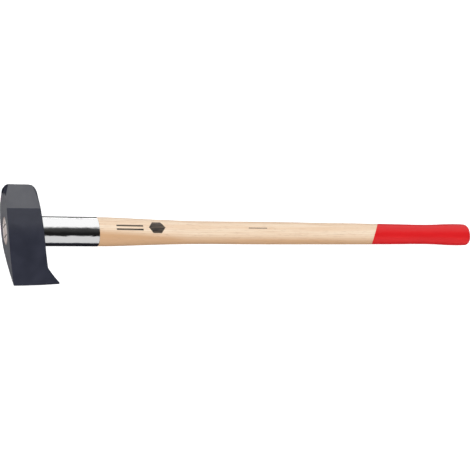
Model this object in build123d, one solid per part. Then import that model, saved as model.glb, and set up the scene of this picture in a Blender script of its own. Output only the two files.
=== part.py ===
from build123d import *
import math
import os

os.makedirs("parts", exist_ok=True)

# Splitting maul lying on its side. X runs from the head to the grip, Y from the
# cutting edge to the poll, Z out through the cheeks. Sizes are in millimetres, and
# they are measured from the crown along X and from the handle axis along Y and Z.

# overall
overall_length = 900.0          # crown of the head to the end of the grip
poll_reach = 81.6               # handle axis to the striking face
edge_reach = 99.9               # handle axis to the cutting edge
head_thickness = 45.0           # across the two cheeks

# head, seen along the handle
poll_thickness = 30.0           # across the striking face
poll_taper_start = 33.5         # where the cheeks start to close in on the poll
wedge_start = -6.0              # where the cheeks start to curve in on the edge
wedge_radius = 160.0            # of that curve, which runs into a straight wedge
edge_land = 0.8                 # width of the ground cutting edge
poll_edge_bevel = 1.6           # bevel round the striking face

# head, seen on the cheek
crown_radius = 780.0            # the crown is a long shallow arc
crown_peak = 3.0                # where that arc reaches furthest out
head_width = 63.2               # crown to hand face on the handle axis
hand_face_slope = 0.046         # the hand face opens out towards the edge
poll_corner_radius = 16.0       # hand side of the striking face
crown_corner_radius = 4.0       # crown side of the striking face
toe_corner_radius = 1.2
flare_start = 15.0              # from here the hand face swings out to the lug
hand_flare = 1.9                # and this far by the root of the lug
lug_start = 70.0                # where the turning lug leaves the hand face
lug_projection = 20.6           # past the line of the hand face
lug_rise = 3.4                  # the lug tip sits this far above the toe
edge_sag = 0.7                  # the edge drops this far short of a straight line
lug_tip_height = 2.0            # blunt end of the lug
lug_face_radius = 160.0
lug_root_radius = 8.0

# long bevels that run from the striking face and fade out along the cheeks
crown_bevel_width = 6.0
crown_bevel_depth = 10.0
crown_bevel_length = 25.0
hand_bevel_width = 7.0
hand_bevel_depth = 3.5
hand_bevel_length = 42.0

# eye, an oval hole that narrows from the crown to the hand face
eye_long = 51.2
eye_short = 26.6
eye_draw = 1.6

# neck of the handle and the steel sleeve round it
neck_step_long = 0.2            # seat under the head, each end of the oval
neck_step_short = 5.8           # seat under the head, each side of the oval
sleeve_wall = 1.6
sleeve_length = 102.6           # hand face to outer rim
sleeve_rim_round = 0.5
rim_step = 0.55                 # the sleeve stands proud of the wood behind it

# handle between the sleeve and the middle, measured from the crown
swell_at = 205.0
swell_long = 51.2
belly_at = 250.0
belly_long = 47.8
taper_at = 300.0
taper_long = 44.4
throat_at = 350.0
throat_long = 42.2
middle_long = 42.0

# handle at the grip, measured back from its end
palm_from_end = 330.0
palm_long = 40.9
hold_from_end = 260.0
hold_long = 40.1
slim_from_end = 200.0
slim_long = 39.1
slender_from_end = 140.0
slender_long = 37.9
waist_from_end = 98.0
waist_long = 37.0
flare_from_end = 72.0
flare_long = 38.0
knob_from_end = 50.0
knob_long = 40.1
heel_from_end = 26.0
heel_long = 41.0
tip_from_end = 9.0
tip_long = 40.0
end_long = 37.6
oval_ratio = 0.78               # short over long axis away from the sleeve
end_round = 10.5

# red dip coat
coat_thickness = 0.6
coat_length = 195.0             # on the handle axis
coat_lean = 0.45                # the dip line leans by this much per unit of height
coat_turn = -0.30               # and by this much per unit towards the upper cheek

# wedges
kerf_wedge_depth = 42.0
kerf_wedge_thick = 6.0
kerf_wedge_tip = 1.2
cross_wedge_count = 2
cross_wedge_pitch = 19.0
cross_wedge_width = 18.0
cross_wedge_depth = 20.0
cross_wedge_thick = 2.6
cross_wedge_tip = 0.7

# clearances
end_recess = 0.4                # tongue and wedges end this far below the crown
eye_clearance = 0.08
seat_clearance = 0.15
sleeve_clearance = 0.10
wedge_clearance = 0.04
overrun = 1.0                   # cutters run this far past what they cut

# sizes that follow from the ones above
eye_low_long = eye_long - eye_draw
eye_low_short = eye_short - eye_draw
neck_long = eye_low_long + 2 * neck_step_long
neck_short = eye_low_short + 2 * neck_step_short
sleeve_long = neck_long + 2 * (sleeve_clearance + sleeve_wall)
sleeve_short = neck_short + 2 * (sleeve_clearance + sleeve_wall)
sleeve_end = head_width + sleeve_length
shoulder_at = sleeve_end + seat_clearance
shoulder_long = sleeve_long - 2 * rim_step
shoulder_short = sleeve_short - 2 * rim_step
coat_start = overall_length - coat_length

# the origin sits under the middle of the bounding box
shift = Location((-overall_length / 2, (edge_reach - poll_reach) / 2, head_thickness / 2))


def crown_x(y):
    return crown_radius - math.sqrt(crown_radius ** 2 - (y - crown_peak) ** 2)


def hand_x(y):
    return head_width - hand_face_slope * y


# half thickness between the eye and the striking face
def cheek_z(y):
    over = max(0.0, y - poll_taper_start) / (poll_reach - poll_taper_start)
    return (head_thickness + (poll_thickness - head_thickness) * over) / 2


def across_plane(x):
    return Plane(origin=(x, 0, 0), x_dir=(0, 1, 0), z_dir=(1, 0, 0))


def oval(x, long_axis, short_axis):
    return across_plane(x) * Ellipse(long_axis / 2, short_axis / 2)


def nearest(vertices, x, y):
    return min(vertices, key=lambda v: math.hypot(v.X - x, v.Y - y))


def lug_arc(tip, root):
    run = tip[0] - root[0]
    drop = root[1] - tip[1]
    span = math.hypot(run, drop)
    sag = span ** 2 / (8 * lug_face_radius)
    mid_x = (tip[0] + root[0]) / 2 - sag * drop / span
    mid_y = (tip[1] + root[1]) / 2 - sag * run / span
    return ThreePointArc(tip, (mid_x, mid_y), root)


def cheek_outline():
    toe = (crown_x(-edge_reach), -edge_reach)
    tip = (hand_x(-edge_reach) + lug_projection, -edge_reach + lug_rise)
    edge_mid = ((toe[0] + tip[0]) / 2, (toe[1] + tip[1]) / 2 - edge_sag)
    tip_top = (tip[0], tip[1] + lug_tip_height)
    root = (hand_x(-lug_start) + hand_flare, -lug_start)
    flare_top = (hand_x(-flare_start), -flare_start)
    flare_y = -(lug_start + flare_start) / 2
    flare_mid = (hand_x(flare_y) + hand_flare / 4, flare_y)
    poll_hand = (hand_x(poll_reach), poll_reach)
    poll_crown = (crown_x(poll_reach), poll_reach)
    lines = [
        ThreePointArc(toe, edge_mid, tip),
        Line(tip, tip_top),
        lug_arc(tip_top, root),
        ThreePointArc(root, flare_mid, flare_top),
        Line(flare_top, poll_hand),
        Line(poll_hand, poll_crown),
        ThreePointArc(poll_crown, (0, crown_peak), toe),
    ]
    return make_face(Wire(lines))


def rounded_cheek_outline():
    face = cheek_outline()
    corners = [
        (hand_x(poll_reach), poll_reach, poll_corner_radius),
        (crown_x(poll_reach), poll_reach, crown_corner_radius),
        (hand_x(-lug_start) + hand_flare, -lug_start, lug_root_radius),
        (crown_x(-edge_reach), -edge_reach, toe_corner_radius),
    ]
    for x, y, radius in corners:
        face = fillet(nearest(face.vertices(), x, y), radius)
    return face


# the straight wedge leaves the curve where a line from the edge just touches it
def wedge_curve():
    half = head_thickness / 2
    run = -edge_reach + wedge_start
    rise = edge_land / 2 - half + wedge_radius
    touch = math.atan2(rise, run) - math.acos(wedge_radius / math.hypot(run, rise))
    middle = (touch + math.pi / 2) / 2
    points = []
    for angle in (math.pi / 2, middle, touch):
        y = -wedge_start + wedge_radius * math.cos(angle)
        z = half - wedge_radius * (1 - math.sin(angle))
        points.append((y, z))
    return points


def thickness_outline():
    half = head_thickness / 2
    land = edge_land / 2
    flat = poll_thickness / 2 - poll_edge_bevel
    bevel_y = poll_reach - poll_edge_bevel
    start, middle, touch = wedge_curve()
    upper = [
        Line((poll_reach, 0), (poll_reach, flat)),
        Line((poll_reach, flat), (bevel_y, cheek_z(bevel_y))),
        Line((bevel_y, cheek_z(bevel_y)), (poll_taper_start, half)),
        Line((poll_taper_start, half), start),
        ThreePointArc(start, middle, touch),
        Line(touch, (-edge_reach, land)),
        Line((-edge_reach, land), (-edge_reach, 0)),
    ]
    lower = [edge.mirror(Plane.XZ) for edge in upper]
    return make_face(Wire(upper + lower))


def head_blank():
    side = extrude(rounded_cheek_outline(), head_thickness / 2, both=True)
    reach = hand_x(-edge_reach) + lug_projection + 2 * overrun
    front = extrude(across_plane(-overrun) * thickness_outline(), reach)
    return side & front


# plane through a bevel's two ends on the striking face and the point where it fades
def bevel_plane(side, width, depth, length, top_x, fade_x, inward):
    fade_y = poll_reach - length
    wide = Vector(top_x + inward * width, poll_reach, side * poll_thickness / 2)
    deep = Vector(top_x, poll_reach, side * (poll_thickness / 2 - depth))
    fade = Vector(fade_x, fade_y, side * cheek_z(fade_y))
    normal = (deep - wide).cross(fade - wide)
    if normal.Z * side < 0:
        normal = normal * -1
    return Plane(origin=wide, z_dir=normal)


def bevelled_blank():
    blank = head_blank()
    crown_fade = crown_x(poll_reach - crown_bevel_length)
    hand_fade = hand_x(poll_reach - hand_bevel_length)
    for side in (1, -1):
        crown_cut = bevel_plane(
            side, crown_bevel_width, crown_bevel_depth, crown_bevel_length,
            crown_x(poll_reach), crown_fade, 1,
        )
        hand_cut = bevel_plane(
            side, hand_bevel_width, hand_bevel_depth, hand_bevel_length,
            hand_x(poll_reach), hand_fade, -1,
        )
        blank = split(blank, bisect_by=crown_cut, keep=Keep.BOTTOM)
        blank = split(blank, bisect_by=hand_cut, keep=Keep.BOTTOM)
    return blank


def eye_solid(clearance):
    slack = 2 * clearance
    top = oval(-overrun, eye_long - slack, eye_short - slack)
    low = oval(head_width + overrun, eye_low_long - slack, eye_low_short - slack)
    end = oval(hand_x(-eye_long) + overrun, eye_low_long - slack, eye_low_short - slack)
    return loft([top, low]) + loft([low, end])


def maul_head():
    return bevelled_blank() - eye_solid(0)


# the head's outline, thick enough to trim whatever passes through it or seats on it
def head_slab(offset):
    return Pos(offset, 0, 0) * extrude(cheek_outline(), head_thickness + sleeve_short, both=True)


def oval_bar(start, stop, long_axis, short_axis):
    return extrude(oval(start, long_axis, short_axis), stop - start)


def protective_sleeve():
    start = head_width / 2
    outer = oval_bar(start, sleeve_end, sleeve_long, sleeve_short)
    outer = fillet(outer.faces().sort_by(Axis.X)[-1].edges(), sleeve_rim_round)
    bore_long = sleeve_long - 2 * sleeve_wall
    bore_short = sleeve_short - 2 * sleeve_wall
    bore = oval_bar(start - overrun, sleeve_end + overrun, bore_long, bore_short)
    return outer - bore - head_slab(seat_clearance)


def handle_stations():
    end = overall_length
    middle_at = (throat_at + end - palm_from_end) / 2
    belly_ratio = (oval_ratio + shoulder_short / shoulder_long) / 2
    swell_ratio = (belly_ratio + shoulder_short / shoulder_long) / 2
    return [
        (shoulder_at, shoulder_long, shoulder_short),
        (swell_at, swell_long, swell_long * swell_ratio),
        (belly_at, belly_long, belly_long * belly_ratio),
        (taper_at, taper_long, taper_long * oval_ratio),
        (throat_at, throat_long, throat_long * oval_ratio),
        (middle_at, middle_long, middle_long * oval_ratio),
        (end - palm_from_end, palm_long, palm_long * oval_ratio),
        (end - hold_from_end, hold_long, hold_long * oval_ratio),
        (end - slim_from_end, slim_long, slim_long * oval_ratio),
        (end - slender_from_end, slender_long, slender_long * oval_ratio),
        (end - waist_from_end, waist_long, waist_long * oval_ratio),
        (end - flare_from_end, flare_long, flare_long * oval_ratio),
        (end - knob_from_end, knob_long, knob_long * oval_ratio),
        (end - heel_from_end, heel_long, heel_long * oval_ratio),
        (end - tip_from_end, tip_long, tip_long * oval_ratio),
        (end, end_long, end_long * oval_ratio),
    ]


def handle_body(inset):
    stations = handle_stations()
    sections = [oval(x, lo - 2 * inset, sh - 2 * inset) for x, lo, sh in stations[:-1]]
    x, lo, sh = stations[-1]
    sections.append(oval(x - inset, lo - 2 * inset, sh - 2 * inset))
    body = loft(sections)
    return fillet(body.faces().sort_by(Axis.X)[-1].edges(), end_round - inset)


def dip_region():
    line = Plane(origin=(coat_start, 0, 0), z_dir=(1, -coat_lean, -coat_turn))
    reach = overall_length
    return line * Box(reach, reach, reach, align=(Align.CENTER, Align.CENTER, Align.MIN))


def neck():
    bar = oval_bar(head_width / 2, shoulder_at + overrun, neck_long, neck_short)
    return bar - head_slab(seat_clearance)


def tongue():
    return eye_solid(eye_clearance) & head_slab(end_recess)


# a wedge outline, thick at the crown and thin at its tip
def wedge_outline(depth, thick, tip, grow):
    deep = depth + grow
    wide = thick / 2 + grow
    slim = tip / 2 + grow
    lead = wide + overrun * (wide - slim) / deep
    points = [(-overrun, lead), (deep, slim), (deep, -slim), (-overrun, -lead)]
    return make_face(Polyline(*points, close=True))


def kerf_prism(grow):
    outline = wedge_outline(kerf_wedge_depth, kerf_wedge_thick, kerf_wedge_tip, grow)
    return extrude(Plane.XZ * outline, eye_long, both=True)


def cross_prisms(grow):
    outline = wedge_outline(cross_wedge_depth, cross_wedge_thick, cross_wedge_tip, grow)
    blade = extrude(outline, cross_wedge_width / 2 + grow, both=True)
    first = -cross_wedge_pitch * (cross_wedge_count - 1) / 2
    return [Pos(0, first + i * cross_wedge_pitch, 0) * blade for i in range(cross_wedge_count)]


def handle():
    region = dip_region()
    wood = (handle_body(0) - region) + (handle_body(coat_thickness) & region)
    wood = wood + neck() + tongue() - kerf_prism(wedge_clearance)
    for pocket in cross_prisms(wedge_clearance):
        wood = wood - pocket
    return wood


def dip_coat():
    return (handle_body(0) & dip_region()) - handle_body(coat_thickness)


def kerf_wedge():
    wedge = kerf_prism(0) & tongue()
    for pocket in cross_prisms(wedge_clearance):
        wedge = wedge - pocket
    return wedge


def cross_wedges():
    room = head_slab(end_recess)
    return Compound(children=[blade & room for blade in cross_prisms(0)])


pieces = {
    "maul_head": maul_head,
    "protective_sleeve": protective_sleeve,
    "handle": handle,
    "kerf_wedge": kerf_wedge,
    "cross_wedges": cross_wedges,
    "dip_coat": dip_coat,
}

for name, make in pieces.items():
    solids = (shift * make()).solids()
    print(name, len(solids), "solids", round(sum(s.volume for s in solids), 1), "mm3")
    export_step(Compound(children=list(solids)), f"parts/{name}.step")
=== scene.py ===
import math
import bmesh
import bpy
from mathutils import Matrix, Vector


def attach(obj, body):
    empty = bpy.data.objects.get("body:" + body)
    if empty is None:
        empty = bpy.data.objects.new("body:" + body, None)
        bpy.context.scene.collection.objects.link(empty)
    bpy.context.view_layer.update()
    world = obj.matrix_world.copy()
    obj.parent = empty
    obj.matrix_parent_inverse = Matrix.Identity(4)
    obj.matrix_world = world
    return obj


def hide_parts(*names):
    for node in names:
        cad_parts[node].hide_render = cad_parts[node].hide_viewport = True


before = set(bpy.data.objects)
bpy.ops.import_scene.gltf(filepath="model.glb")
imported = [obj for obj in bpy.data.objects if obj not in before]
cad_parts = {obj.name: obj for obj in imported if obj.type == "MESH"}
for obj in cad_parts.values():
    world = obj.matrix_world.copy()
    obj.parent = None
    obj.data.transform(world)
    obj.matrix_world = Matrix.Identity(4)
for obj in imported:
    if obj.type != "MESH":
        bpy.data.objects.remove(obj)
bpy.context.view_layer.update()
scene = bpy.context.scene


def hexColour(code):
    parts = [int(code[i:i + 2], 16) / 255 for i in (1, 3, 5)]
    linear = [c / 12.92 if c <= 0.04045 else ((c + 0.055) / 1.055) ** 2.4 for c in parts]
    return (*linear, 1.0)


# adds one node: settings go to its properties or its sockets, links join sockets to it.
# A Mix node's sockets for colour are 6 and 7, and its factor is 0.
def addNode(tree, kind, settings=None, links=None):
    node = tree.nodes.new("ShaderNode" + kind)
    for key, value in (settings or {}).items():
        if isinstance(key, str) and hasattr(node, key):
            setattr(node, key, value)
        else:
            node.inputs[key].default_value = value
    for key, socket in (links or {}).items():
        tree.links.new(socket, node.inputs[key])
    return node


def newMaterial(name):
    material = bpy.data.materials.new(name)
    material.use_nodes = True
    tree = material.node_tree
    return material, tree, tree.nodes["Principled BSDF"]


def linkShader(tree, shader, sockets):
    for name, socket in sockets.items():
        tree.links.new(socket, shader.inputs[name])


cameraValues = {
    "place": (-1.4594, -1.2463, 3.3241),
    "target": (-0.0233, 0.0050, 0.0225),
    "roll": 45.29,
    "lens": 162.8,
    "sensor": 36.0,
    "farEnd": 50.0,
}

camData = bpy.data.cameras.new("studioCamera")
camData.lens = cameraValues["lens"]
camData.sensor_width = cameraValues["sensor"]
camData.clip_end = cameraValues["farEnd"]
cam = bpy.data.objects.new("studioCamera", camData)
scene.collection.objects.link(cam)
place = Vector(cameraValues["place"])
look = (Vector(cameraValues["target"]) - place).to_track_quat("-Z", "Y")
roll = Matrix.Rotation(math.radians(cameraValues["roll"]), 4, "Z")
cam.matrix_world = Matrix.Translation(place) @ look.to_matrix().to_4x4() @ roll
scene.camera = cam
print("camera placed")

# a softbox on the poll side, a black flag overhead that leans to the edge side and a
# grey wall beyond it, all running the length of the tool
studioValues = {
    "softbox": 1.20,        # brightness
    "softboxTint": 1.01,    # a touch more blue
    "sky": [                # degrees from straight up towards the poll, share of the softbox
        (-180, 0.50),
        (-90, 0.66),
        (-35.5, 0.66),
        (-29.5, 0.012),
        (-14, 0.012),
        (15, 0.062),
        (26, 1.0),
        (120, 1.0),
    ],
    "boxEnd": (0.60, 0.85), # softbox and wall fade out past the tool's ends
    "endShare": 0.22,
    "keyPower": 1.95,       # the key only lights matt surfaces
    "keyAngle": 30,
    "keyFrom": (-0.22, -0.30, 0.93),
}

world = bpy.data.worlds.new("studio")
scene.world = world
world.use_nodes = True
tree = world.node_tree
direction = addNode(tree, "TexCoord")
split = addNode(tree, "SeparateXYZ", links={0: direction.outputs["Generated"]})
lean = addNode(
    tree, "Math", {"operation": "ARCTAN2"}, {0: split.outputs["Y"], 1: split.outputs["Z"]}
)
turn = addNode(tree, "MapRange", {1: -math.pi, 2: math.pi}, {0: lean.outputs[0]})
sky = addNode(tree, "ValToRGB", links={0: turn.outputs[0]})
skyStops = sky.color_ramp.elements
while len(skyStops) < len(studioValues["sky"]):
    skyStops.new(0.5)
for stop, (degrees, share) in zip(skyStops, studioValues["sky"]):
    stop.position = (180 + degrees) / 360
    stop.color = (share, share, share * studioValues["softboxTint"], 1)
along = addNode(tree, "Math", {"operation": "ABSOLUTE"}, {0: split.outputs["X"]})
fadeFrom, fadeTo = studioValues["boxEnd"]
dim = studioValues["softbox"] * studioValues["endShare"]
ends = addNode(
    tree, "MapRange", {1: fadeFrom, 2: fadeTo, 3: studioValues["softbox"], 4: dim},
    {0: along.outputs[0]},
)
background = tree.nodes["Background"]
tree.links.new(sky.outputs["Color"], background.inputs["Color"])
tree.links.new(ends.outputs[0], background.inputs["Strength"])

keyData = bpy.data.lights.new("key", "SUN")
keyData.energy = studioValues["keyPower"]
keyData.angle = math.radians(studioValues["keyAngle"])
key = bpy.data.objects.new("key", keyData)
scene.collection.objects.link(key)
key.matrix_world = Vector(studioValues["keyFrom"]).to_track_quat("Z", "Y").to_matrix().to_4x4()
key.visible_glossy = False
print("studio lit")

floorValues = {
    "reach": 8.0,
    "paper": "#cfcfcf",
    "paperGlow": 0.80,
    "bench": "#c9c9cb",
    "benchDrop": -0.0002,
    "cardHeight": 0.0003,
    "matt": 0.9,
}


# a flat matt sheet of the studio, from one corner to the other
def makeSheet(name, low, high, height, colour, glow):
    mesh = bpy.data.meshes.new(name)
    piece = bpy.data.objects.new(name, mesh)
    scene.collection.objects.link(piece)
    bm = bmesh.new()
    bmesh.ops.create_grid(bm, x_segments=1, y_segments=1, size=0.5)
    bmesh.ops.scale(bm, verts=bm.verts, vec=(high[0] - low[0], high[1] - low[1], 1))
    middle = ((low[0] + high[0]) / 2, (low[1] + high[1]) / 2, height)
    bmesh.ops.translate(bm, verts=bm.verts, vec=middle)
    bm.to_mesh(mesh)
    bm.free()
    material, tree, shader = newMaterial(name + "Paint")
    shader.inputs["Base Color"].default_value = hexColour(colour)
    shader.inputs["Roughness"].default_value = floorValues["matt"]
    shader.inputs["Specular IOR Level"].default_value = 0.0
    shader.inputs["Emission Color"].default_value = hexColour("#ffffff")
    shader.inputs["Emission Strength"].default_value = glow
    mesh.materials.append(material)
    return piece


# the floor is a lit white sheet; gloss and bounce see the plain grey bench under it
reach = floorValues["reach"]
corners = ((-reach, -reach), (reach, reach))
floor = makeSheet("floor", *corners, 0.0, floorValues["paper"], floorValues["paperGlow"])
floor.visible_glossy = False
floor.visible_diffuse = False
floor.visible_shadow = False
bench = makeSheet("bench", *corners, floorValues["benchDrop"], floorValues["bench"], 0.0)
bench.visible_camera = False

# cards on the bench that only gloss sees: name, two corners in metres, colour and glow.
# They are painted reflections. The dark ones stand in for the shade on the floor round the
# tool and draw the dark rims; the white one glows as a painted reflection that carries the
# softbox on below the sleeve's poll side.
paintedReflectionCards = [
    ("edgeCard", (-0.40, -0.120), (0.47, -0.0165), "#222228", 0.0),
    ("edgeFarCard", (-0.40, -0.200), (0.47, -0.120), "#45454c", 0.0),
    ("cornerCard", (-0.85, 0.085), (-0.472, 0.50), "#060606", 0.0),
    ("pollTipCard", (-0.472, 0.088), (-0.42, 0.20), "#060606", 0.0),
    ("pollNearCard", (-0.40, 0.034), (0.47, 0.160), "#060607", 0.0),
    ("pollCard", (-0.41, 0.160), (-0.05, 0.60), "#ffffff", 0.55),
]
# each card shows in reflections alone: painted shade and painted light, no lamp
for name, low, high, colour, glow in paintedReflectionCards:
    card = makeSheet(name, low, high, floorValues["cardHeight"], colour, glow)
    card.visible_camera = False
    card.visible_diffuse = False
    card.visible_shadow = False
print("floor laid")

easeValues = {
    "merge": 1e-6,
    "flat": 0.8,             # coplanar triangles are joined below this angle
    "shadingWeight": 100,
}


# a new mesh of a CAD node's shape, in the same place
def startCopy(node, name):
    mesh = bpy.data.meshes.new(name)
    piece = bpy.data.objects.new(name, mesh)
    scene.collection.objects.link(piece)
    bm = bmesh.new()
    bm.from_mesh(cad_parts[node].data)
    bmesh.ops.remove_doubles(bm, verts=bm.verts, dist=easeValues["merge"])
    return piece, bm


def joinFlats(bm):
    limit = math.radians(easeValues["flat"])
    bmesh.ops.dissolve_limit(bm, angle_limit=limit, verts=bm.verts, edges=bm.edges)


# rounds the sharp edges and marks the rounded faces 1 in edgeWear
def easeEdges(bm, radius, steps, isSharp):
    edges = [e for e in bm.edges if len(e.link_faces) == 2 and isSharp(e)]
    made = bmesh.ops.bevel(
        bm, geom=edges, offset=radius, offset_type="OFFSET", affect="EDGES",
        segments=steps, profile=0.5, material=-1, clamp_overlap=True,
    )
    wear = bm.loops.layers.float_color.new("edgeWear")
    for face in bm.faces:
        face.smooth = True
        shade = 1.0 if face in made["faces"] else 0.0
        for loop in face.loops:
            loop[wear] = (shade, shade, shade, 1)


def finishCopy(piece, bm, materials, node):
    bm.to_mesh(piece.data)
    bm.free()
    for material in materials:
        piece.data.materials.append(material)
    even = piece.modifiers.new("evenShading", "WEIGHTED_NORMAL")
    even.weight = easeValues["shadingWeight"]
    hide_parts(node)
    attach(piece, "root")
    return piece


headValues = {
    "edgeRadius": 0.0009,
    "edgeSteps": 3,
    "edgeAngle": 24.0,       # every edge sharper than this is rounded
    "creaseAngle": 7.5,      # and so is the crease between two broad faces
    "creaseArea": 0.0001,
    "pollSlope": (0.05, 0.25),
    "lacquer": "#31333f",
    "lacquerDeep": "#2a2c37",
    # the poll facets' lighter grey is painted light, a lit copy of the same lacquer
    "pollLitGrey": "#55565b",
    "pollLitGreyDeep": "#4c4d53",
    "bareSteel": "#8f9093",
    "cheekSquare": 0.9,      # how nearly level a poll facet is
    "dimple": 7.0,           # forging dimples, mm
    "dimpleDepth": 0.0003,
    "peel": 0.9,             # the lacquer's orange peel, mm
    "peelDepth": 0.00006,
    "cloud": 34.0,           # patches where it lies thicker, mm
    "chip": 2.6,             # chips along the edges, mm
    "wear": 0.55,
    "roughness": (0.27, 0.38),
    "ior": 1.5,
}


# Satin stoving lacquer over drop-forged carbon steel: dark slate blue, softly dimpled
# by the forging, and rubbed thin along the edges. Orange peel is really about 0.4 mm
# across and is drawn at 0.9 mm so that it shows.
def makeLacqueredSteel(name, light, deep):
    values = headValues
    material, tree, shader = newMaterial(name)
    place = addNode(tree, "TexCoord")
    mm = addNode(
        tree, "Mapping", {"Scale": (1000, 1000, 1000)}, {"Vector": place.outputs["Object"]}
    )
    dimples = addNode(
        tree, "TexNoise", {"Scale": 1 / values["dimple"], "Detail": 3.0, "Roughness": 0.55},
        {"Vector": mm.outputs[0]},
    )
    peel = addNode(
        tree, "TexNoise", {"Scale": 1 / values["peel"], "Detail": 2.0},
        {"Vector": mm.outputs[0]},
    )
    cloud = addNode(
        tree, "TexNoise", {"Scale": 1 / values["cloud"], "Detail": 3.0, "Distortion": 0.6},
        {"Vector": mm.outputs[0]},
    )
    chips = addNode(
        tree, "TexNoise", {"Scale": 1 / values["chip"], "Detail": 4.0, "Roughness": 0.7},
        {"Vector": mm.outputs[0]},
    )
    tone = addNode(tree, "MapRange", {1: 0.35, 2: 0.68}, {0: cloud.outputs["Fac"]})
    base = addNode(
        tree, "Mix", {"data_type": "RGBA", 6: hexColour(deep), 7: hexColour(light)},
        {0: tone.outputs[0]},
    )
    chipped = addNode(
        tree, "MapRange", {1: 0.50, 2: 0.66, 4: values["wear"]}, {0: chips.outputs["Fac"]}
    )
    edge = addNode(tree, "Attribute", {"attribute_name": "edgeWear"})
    worn = addNode(
        tree, "Math", {"operation": "MULTIPLY"},
        {0: edge.outputs["Fac"], 1: chipped.outputs[0]},
    )
    colour = addNode(
        tree, "Mix", {"data_type": "RGBA", 7: hexColour(values["bareSteel"])},
        {0: worn.outputs[0], 6: base.outputs[2]},
    )
    smooth, rough = values["roughness"]
    satin = addNode(
        tree, "MapRange", {1: 0.3, 2: 0.7, 3: smooth, 4: rough}, {0: cloud.outputs["Fac"]}
    )
    forged = addNode(
        tree, "Bump", {"Strength": 0.35, "Distance": values["dimpleDepth"]},
        {"Height": dimples.outputs["Fac"]},
    )
    skin = addNode(
        tree, "Bump", {"Strength": 0.25, "Distance": values["peelDepth"]},
        {"Height": peel.outputs["Fac"], "Normal": forged.outputs[0]},
    )
    shader.inputs["IOR"].default_value = values["ior"]
    linkShader(tree, shader, {
        "Base Color": colour.outputs[2],
        "Metallic": worn.outputs[0],
        "Roughness": satin.outputs[0],
        "Normal": skin.outputs[0],
    })
    return material


def makeHead():
    limit = math.radians(headValues["edgeAngle"])
    crease = math.radians(headValues["creaseAngle"])

    def isSharp(edge):
        angle = edge.calc_face_angle()
        area = min(face.calc_area() for face in edge.link_faces)
        return angle > limit or angle > crease and area > headValues["creaseArea"]

    piece, bm = startCopy("maul_head", "forgedHead")
    joinFlats(bm)
    easeEdges(bm, headValues["edgeRadius"], headValues["edgeSteps"], isSharp)
    least, most = headValues["pollSlope"]
    for face in bm.faces:  # facets that lean a little towards the poll get a lighter copy of the lacquer: painted light for the light they catch
        if least < face.normal.y < most and abs(face.normal.z) > headValues["cheekSquare"]:
            face.material_index = 1
    forged = makeLacqueredSteel(
        "lacqueredForgedSteel", headValues["lacquer"], headValues["lacquerDeep"]
    )
    # a lighter copy of the same lacquer: painted light on the poll facets
    litLacquer = makeLacqueredSteel(
        "lacqueredSteelLitCopy", headValues["pollLitGrey"], headValues["pollLitGreyDeep"]
    )
    return finishCopy(piece, bm, [forged, litLacquer], "maul_head")


makeHead()
print("head made")

sleeveValues = {
    "chrome": "#e6e6e5",
    "roughness": (0.042, 0.126),
    "drawLine": 0.8,         # lines of the draw, mm apart
    "drawLength": 60.0,
    "drawDepth": 0.00003,
    "rippleWide": 16.0,
    "rippleLong": 26.0,
    "rippleDepth": 0.0010,
}


# Bright chrome plate on drawn steel tube: mirror-like, with slight ripples that break
# up its reflections and faint lines along the draw. Real draw lines are some 0.1 mm
# apart and are drawn at 0.8 mm so that they show.
def makeChromedTube():
    values = sleeveValues
    material, tree, shader = newMaterial("chromedDrawnTube")
    place = addNode(tree, "TexCoord")
    across = 1000 / values["drawLine"]
    lines = addNode(
        tree, "Mapping", {"Scale": (1000 / values["drawLength"], across, across)},
        {"Vector": place.outputs["Object"]},
    )
    drawn = addNode(
        tree, "TexNoise", {"Scale": 1.0, "Detail": 2.0}, {"Vector": lines.outputs[0]}
    )
    around = 1000 / values["rippleWide"]
    waves = addNode(
        tree, "Mapping", {"Scale": (1000 / values["rippleLong"], around, around)},
        {"Vector": place.outputs["Object"]},
    )
    ripple = addNode(
        tree, "TexNoise", {"Scale": 1.0, "Detail": 2.0, "Distortion": 0.4},
        {"Vector": waves.outputs[0]},
    )
    rippled = addNode(
        tree, "Bump", {"Strength": 0.5, "Distance": values["rippleDepth"]},
        {"Height": ripple.outputs["Fac"]},
    )
    lined = addNode(
        tree, "Bump", {"Strength": 0.25, "Distance": values["drawDepth"]},
        {"Height": drawn.outputs["Fac"], "Normal": rippled.outputs[0]},
    )
    bright, dull = values["roughness"]
    polish = addNode(
        tree, "MapRange", {1: 0.3, 2: 0.8, 3: bright, 4: dull}, {0: drawn.outputs["Fac"]}
    )
    shader.inputs["Base Color"].default_value = hexColour(values["chrome"])
    shader.inputs["Metallic"].default_value = 1.0
    linkShader(tree, shader, {"Roughness": polish.outputs[0], "Normal": lined.outputs[0]})
    return material


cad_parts["protective_sleeve"].data.materials[0] = makeChromedTube()
print("sleeve plated")

handleValues = {
    "pale": "#f3dfc6",
    "warm": "#e9ccae",
    "late": "#dcb793",
    "heartAndShade": "#cfa379",
    "streak": "#cfa284",
    "pore": "#b48d6e",
    "endGrain": "#e3dada",
    "wedgeGrain": "#c6b9b4",
    "endStain": "#6a5c54",
    "ring": 3.2,             # growth ring width, mm
    "band": 8.0,
    "line": 1.7,             # vessel lines, mm apart
    "poreWide": 0.75,
    "grainDepth": 0.00015,
    "poreDepth": 0.0001,
    "stretch": 24.0,         # how much longer than wide the grain runs
    "grainTurn": 0.5,        # degrees the grain runs out of the handle's line
    "pith": (0.0, 150.0, -70.0),
    "heartShadeFrom": -0.0005,    # heartwood tone and painted shade start below this line, m
    "heartShadeFull": -0.0100,
    "heartShadeWander": 0.012,
    "heartShadeRise": (-0.30, -0.12, -0.009),  # and stands higher towards the sleeve
    "endFrom": -0.436,       # end grain in the eye, m
    "endFull": -0.440,
    "axis": (9.15, 22.5),    # the eye's middle, mm
    "tongue": (25.6, 13.3),  # half the eye's oval, mm
    "roughness": (0.42, 0.60),
    "ior": 1.45,
}
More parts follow.
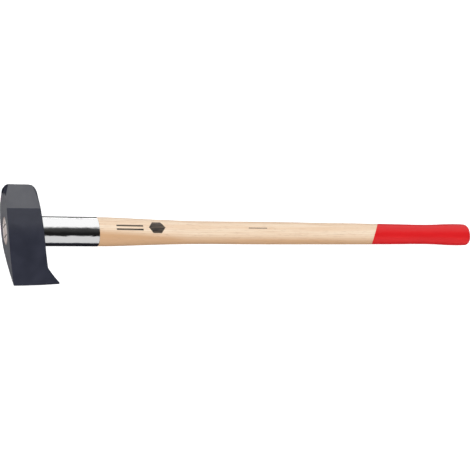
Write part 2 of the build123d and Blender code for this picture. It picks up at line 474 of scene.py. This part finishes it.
stampValues = {
    "ink": "#1d1b1b",
    "inkCover": (0.99, 0.86),
    "hexagon": ((-177.0, 11.5), (13.5, 10.5)),  # middle and half size, mm
    "rules": [                                  # middle, half length, half gap, half width
        ((-228.0, 10.5), 25.0, 3.5, 1.5),
        ((16.0, 12.5), 18.0, 0.0, 0.7),
    ],
}


# a plain hexagon and plain rules stamped on the upper side: 1 where the ink lies
def stampMask(tree, mm):
    (x, y), (long, tall) = stampValues["hexagon"]
    mark = addNode(
        tree, "Mapping", {"Location": (-x / long, -y / tall, 0), "Scale": (1 / long, 1 / tall, 0)},
        {"Vector": mm.outputs[0]},
    )
    folded = addNode(tree, "VectorMath", {"operation": "ABSOLUTE"}, {0: mark.outputs[0]})
    slant = addNode(
        tree, "VectorMath", {"operation": "DOT_PRODUCT", 1: (math.cos(math.pi / 6), 0.5, 0)},
        {0: folded.outputs[0]},
    )
    flat = addNode(
        tree, "VectorMath", {"operation": "DOT_PRODUCT", 1: (0, 1, 0)}, {0: folded.outputs[0]}
    )
    outer = addNode(
        tree, "Math", {"operation": "MAXIMUM"},
        {0: slant.outputs["Value"], 1: flat.outputs["Value"]},
    )
    mask = addNode(tree, "Math", {"operation": "LESS_THAN", 1: 1.0}, {0: outer.outputs[0]})
    for (x, y), long, gap, wide in stampValues["rules"]:
        rule = addNode(tree, "Mapping", {"Location": (-x, -y, 0)}, {"Vector": mm.outputs[0]})
        sides = addNode(tree, "VectorMath", {"operation": "ABSOLUTE"}, {0: rule.outputs[0]})
        apart = addNode(
            tree, "VectorMath", {"operation": "SUBTRACT", 1: (0, gap, 0)}, {0: sides.outputs[0]}
        )
        bars = addNode(tree, "VectorMath", {"operation": "ABSOLUTE"}, {0: apart.outputs[0]})
        size = addNode(tree, "SeparateXYZ", links={0: bars.outputs[0]})
        inLength = addNode(
            tree, "Math", {"operation": "LESS_THAN", 1: long}, {0: size.outputs["X"]}
        )
        inWidth = addNode(
            tree, "Math", {"operation": "LESS_THAN", 1: wide}, {0: size.outputs["Y"]}
        )
        bar = addNode(
            tree, "Math", {"operation": "MULTIPLY"},
            {0: inLength.outputs[0], 1: inWidth.outputs[0]},
        )
        mask = addNode(
            tree, "Math", {"operation": "MAXIMUM"}, {0: mask.outputs[0], 1: bar.outputs[0]}
        )
    height = addNode(tree, "SeparateXYZ", links={0: mm.outputs[0]})
    upper = addNode(
        tree, "Math", {"operation": "GREATER_THAN", 1: handleValues["axis"][1]},
        {0: height.outputs["Z"]},
    )
    return addNode(
        tree, "Math", {"operation": "MULTIPLY"}, {0: mask.outputs[0], 1: upper.outputs[0]}
    )


# Clear-oiled hickory, turned and sanded: pale sapwood with warm bands of late wood,
# redder heartwood along one side, which is also painted shade on the underside, open
# pores, and grey end grain in the eye. The pores are really some 0.3 mm wide and are
# drawn at 0.75 mm so that they show.
def makeHickory(name, endGrain):
    values = handleValues
    material, tree, shader = newMaterial(name)
    place = addNode(tree, "TexCoord")
    mm = addNode(
        tree, "Mapping", {"Scale": (1000, 1000, 1000)}, {"Vector": place.outputs["Object"]}
    )
    along = addNode(
        tree, "Mapping",
        {
            "Location": values["pith"],
            "Rotation": (0, 0, math.radians(values["grainTurn"])),
            "Scale": (1 / values["stretch"], 1, 1),
        },
        {"Vector": mm.outputs[0]},
    )
    rings = addNode(
        tree, "TexWave",
        {
            "wave_type": "RINGS",
            "rings_direction": "X",
            "wave_profile": "SAW",
            "Scale": math.pi / 10 / values["ring"],
            "Distortion": 5.0,
            "Detail": 2.0,
            "Detail Scale": 0.35,
        },
        {"Vector": along.outputs[0]},
    )
    bands = addNode(
        tree, "TexNoise", {"Scale": 1 / values["band"], "Detail": 3.0, "Roughness": 0.6},
        {"Vector": along.outputs[0]},
    )
    lines = addNode(
        tree, "TexNoise", {"Scale": 1 / values["line"], "Detail": 2.0},
        {"Vector": along.outputs[0]},
    )
    pores = addNode(
        tree, "TexNoise", {"Scale": 1 / values["poreWide"], "Detail": 1.0},
        {"Vector": along.outputs[0]},
    )
    bandTone = addNode(tree, "MapRange", {1: 0.36, 2: 0.66}, {0: bands.outputs["Fac"]})
    base = addNode(
        tree, "Mix",
        {"data_type": "RGBA", 6: hexColour(values["pale"]), 7: hexColour(values["warm"])},
        {0: bandTone.outputs[0]},
    )
    lateTone = addNode(tree, "MapRange", {1: 0.55, 2: 1.0, 4: 0.42}, {0: rings.outputs["Fac"]})
    ringed = addNode(
        tree, "Mix", {"data_type": "RGBA", 7: hexColour(values["late"])},
        {0: lateTone.outputs[0], 6: base.outputs[2]},
    )

    # heartwood tone and painted shade below a line that wanders and rises towards the sleeve: the
    # underside is drawn darker, most near the sleeve
    split = addNode(tree, "SeparateXYZ", links={0: place.outputs["Object"]})
    wander = addNode(
        tree, "Math",
        {"operation": "MULTIPLY_ADD", 1: values["heartShadeWander"], 2: -values["heartShadeWander"] / 2},
        {0: bands.outputs["Fac"]},
    )
    riseFrom, riseTo, rise = values["heartShadeRise"]
    nearSleeve = addNode(
        tree, "MapRange", {1: riseFrom, 2: riseTo, 3: rise, 4: 0.0}, {0: split.outputs["X"]}
    )
    line = addNode(
        tree, "Math", {"operation": "ADD"}, {0: wander.outputs[0], 1: nearSleeve.outputs[0]}
    )
    side = addNode(
        tree, "Math", {"operation": "ADD"}, {0: split.outputs["Y"], 1: line.outputs[0]}
    )
    # painted shade: the handle's underside drawn darker, with the heartwood tone
    heartShadeTone = addNode(
        tree, "MapRange", {1: values["heartShadeFrom"], 2: values["heartShadeFull"], 4: 0.9},
        {0: side.outputs[0]},
    )
    heartShaded = addNode(
        tree, "Mix", {"data_type": "RGBA", 7: hexColour(values["heartAndShade"])},
        {0: heartShadeTone.outputs[0], 6: ringed.outputs[2]},
    )
    streakTone = addNode(
        tree, "MapRange", {1: 0.60, 2: 0.74, 4: 0.50}, {0: lines.outputs["Fac"]}
    )
    streaked = addNode(
        tree, "Mix", {"data_type": "RGBA", 7: hexColour(values["streak"])},
        {0: streakTone.outputs[0], 6: heartShaded.outputs[2]},
    )
    poreTone = addNode(tree, "MapRange", {1: 0.62, 2: 0.72, 4: 0.5}, {0: pores.outputs["Fac"]})
    pored = addNode(
        tree, "Mix", {"data_type": "RGBA", 7: hexColour(values["pore"])},
        {0: poreTone.outputs[0], 6: streaked.outputs[2]},
    )

    # end grain in the eye, stained darker where it meets the steel
    isEnd = addNode(
        tree, "MapRange", {1: values["endFrom"], 2: values["endFull"], 4: 0.8},
        {0: split.outputs["X"]},
    )
    ended = addNode(
        tree, "Mix", {"data_type": "RGBA", 7: hexColour(endGrain)},
        {0: isEnd.outputs[0], 6: pored.outputs[2]},
    )
    (axisY, axisZ), (long, short) = values["axis"], values["tongue"]
    oval = addNode(
        tree, "Mapping",
        {"Location": (0, -axisY / long, -axisZ / short), "Scale": (0, 1 / long, 1 / short)},
        {"Vector": mm.outputs[0]},
    )
    rim = addNode(tree, "VectorMath", {"operation": "LENGTH"}, {0: oval.outputs[0]})
    rimTone = addNode(tree, "MapRange", {1: 0.80, 2: 1.0, 4: 0.85}, {0: rim.outputs["Value"]})
    stain = addNode(
        tree, "Math", {"operation": "MULTIPLY"}, {0: rimTone.outputs[0], 1: isEnd.outputs[0]}
    )
    stained = addNode(
        tree, "Mix", {"data_type": "RGBA", 7: hexColour(values["endStain"])},
        {0: stain.outputs[0], 6: ended.outputs[2]},
    )

    full, thin = stampValues["inkCover"]
    inkFade = addNode(
        tree, "MapRange", {1: 0.40, 2: 0.66, 3: full, 4: thin}, {0: lines.outputs["Fac"]}
    )
    inked = addNode(
        tree, "Math", {"operation": "MULTIPLY"},
        {0: stampMask(tree, mm).outputs[0], 1: inkFade.outputs[0]},
    )
    colour = addNode(
        tree, "Mix", {"data_type": "RGBA", 7: hexColour(stampValues["ink"])},
        {0: inked.outputs[0], 6: stained.outputs[2]},
    )
    smooth, dry = values["roughness"]
    rough = addNode(tree, "MapRange", {3: smooth, 4: dry}, {0: bands.outputs["Fac"]})
    grain = addNode(
        tree, "Bump", {"Strength": 0.3, "Distance": values["grainDepth"]},
        {"Height": lines.outputs["Fac"]},
    )
    pits = addNode(
        tree, "Bump", {"Strength": 0.3, "Distance": values["poreDepth"], "invert": True},
        {"Height": poreTone.outputs[0], "Normal": grain.outputs[0]},
    )
    shader.inputs["IOR"].default_value = values["ior"]
    linkShader(tree, shader, {
        "Base Color": colour.outputs[2],
        "Roughness": rough.outputs[0],
        "Normal": pits.outputs[0],
    })
    return material


hickory = makeHickory("oiledHickory", handleValues["endGrain"])
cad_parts["handle"].data.materials[0] = hickory
hornbeam = makeHickory("hornbeamWedge", handleValues["wedgeGrain"])
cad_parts["kerf_wedge"].data.materials[0] = hornbeam
print("handle grained")

wedgeValues = {
    "edgeRadius": 0.0002,
    "edgeSteps": 2,
    "edgeAngle": 30.0,
    "steel": "#7d7b79",
    "rust": "#5d4f47",
    "dent": 2.5,             # hammer dents, mm
    "dentDepth": 0.0003,
    "roughness": (0.45, 0.80),
}


# Mild steel wedges, cut from bar and driven in with a hammer: dull grey and dented,
# with a brown film of rust in the dents.
def makeDrivenSteel():
    values = wedgeValues
    material, tree, shader = newMaterial("hammeredMildSteel")
    place = addNode(tree, "TexCoord")
    mm = addNode(
        tree, "Mapping", {"Scale": (1000, 1000, 1000)}, {"Vector": place.outputs["Object"]}
    )
    dents = addNode(
        tree, "TexNoise", {"Scale": 1 / values["dent"], "Detail": 3.0}, {"Vector": mm.outputs[0]}
    )
    film = addNode(tree, "MapRange", {1: 0.48, 2: 0.66, 4: 0.7}, {0: dents.outputs["Fac"]})
    colour = addNode(
        tree, "Mix",
        {"data_type": "RGBA", 6: hexColour(values["steel"]), 7: hexColour(values["rust"])},
        {0: film.outputs[0]},
    )
    shine = addNode(tree, "MapRange", {3: 1.0, 4: 0.3}, {0: film.outputs[0]})
    clean, rusty = values["roughness"]
    rough = addNode(tree, "MapRange", {3: clean, 4: rusty}, {0: film.outputs[0]})
    bump = addNode(
        tree, "Bump", {"Strength": 0.5, "Distance": values["dentDepth"]},
        {"Height": dents.outputs["Fac"]},
    )
    linkShader(tree, shader, {
        "Base Color": colour.outputs[2],
        "Metallic": shine.outputs[0],
        "Roughness": rough.outputs[0],
        "Normal": bump.outputs[0],
    })
    return material


def makeWedges():
    limit = math.radians(wedgeValues["edgeAngle"])
    piece, bm = startCopy("cross_wedges", "drivenWedges")
    joinFlats(bm)
    easeEdges(
        bm, wedgeValues["edgeRadius"], wedgeValues["edgeSteps"],
        lambda edge: edge.calc_face_angle() > limit,
    )
    return finishCopy(piece, bm, [makeDrivenSteel()], "cross_wedges")


makeWedges()
print("wedges driven")

dipValues = {
    "thick": 0.0006,
    "rimPlace": (0.25494, 0.00905, 0.02254),
    # the coat starts nearer the head on the edge side and on top
    "rimFacing": (-0.8796, 0.3958, -0.2639),
    "rimGap": 0.00003,       # clear of the step in the wood
    "lip": 0.00025,          # soft lip where the coat ends
    "lipSteps": 2,
    "lipAngle": 40.0,
    "red": "#df2427",
    "deepRed": "#d01d21",
    "runWide": 6.0,          # runs left by dipping, mm
    "runStretch": 9.0,
    "runDepth": 0.0003,
    "peel": 1.2,
    "peelDepth": 0.00005,
    "roughness": (0.25, 0.38),
    "specular": 0.23,
}


# Dipped alkyd lacquer: an even glossy red skin with soft runs along the grip. Its
# orange peel is really about 0.5 mm across and is drawn at 1.2 mm so that it shows.
def makeDippedLacquer():
    values = dipValues
    material, tree, shader = newMaterial("dippedRedLacquer")
    place = addNode(tree, "TexCoord")
    mm = addNode(
        tree, "Mapping", {"Scale": (1000 / values["runStretch"], 1000, 1000)},
        {"Vector": place.outputs["Object"]},
    )
    runs = addNode(
        tree, "TexNoise", {"Scale": 1 / values["runWide"], "Detail": 2.0},
        {"Vector": mm.outputs[0]},
    )
    peel = addNode(
        tree, "TexNoise", {"Scale": 1 / values["peel"], "Detail": 1.0}, {"Vector": mm.outputs[0]}
    )
    colour = addNode(
        tree, "Mix",
        {"data_type": "RGBA", 6: hexColour(values["deepRed"]), 7: hexColour(values["red"])},
        {0: runs.outputs["Fac"]},
    )
    wet, dull = values["roughness"]
    rough = addNode(tree, "MapRange", {3: wet, 4: dull}, {0: runs.outputs["Fac"]})
    soft = addNode(
        tree, "Bump", {"Strength": 0.3, "Distance": values["runDepth"]},
        {"Height": runs.outputs["Fac"]},
    )
    skin = addNode(
        tree, "Bump", {"Strength": 0.2, "Distance": values["peelDepth"]},
        {"Height": peel.outputs["Fac"], "Normal": soft.outputs[0]},
    )
    shader.inputs["Specular IOR Level"].default_value = values["specular"]
    linkShader(tree, shader, {
        "Base Color": colour.outputs[2],
        "Roughness": rough.outputs[0],
        "Normal": skin.outputs[0],
    })
    return material


# The coat grows out of the wood's own skin: it is cut off along the coat's rim and
# given its thickness outwards.
def makeDippedGrip():
    limit = math.radians(dipValues["lipAngle"])
    facing = Vector(dipValues["rimFacing"]).normalized()
    rim = Vector(dipValues["rimPlace"]) - facing * dipValues["rimGap"]
    piece, bm = startCopy("handle", "dippedGrip")
    bmesh.ops.bisect_plane(
        bm, geom=bm.verts[:] + bm.edges[:] + bm.faces[:], dist=1e-7,
        plane_co=rim, plane_no=facing, clear_outer=True,
    )
    bmesh.ops.solidify(bm, geom=bm.faces[:], thickness=-dipValues["thick"])
    bmesh.ops.recalc_face_normals(bm, faces=bm.faces)
    easeEdges(
        bm, dipValues["lip"], dipValues["lipSteps"],
        lambda edge: edge.calc_face_angle() > limit,
    )
    return finishCopy(piece, bm, [makeDippedLacquer()], "dip_coat")


makeDippedGrip()
print("grip dipped")

scene.view_settings.view_transform = "Standard"
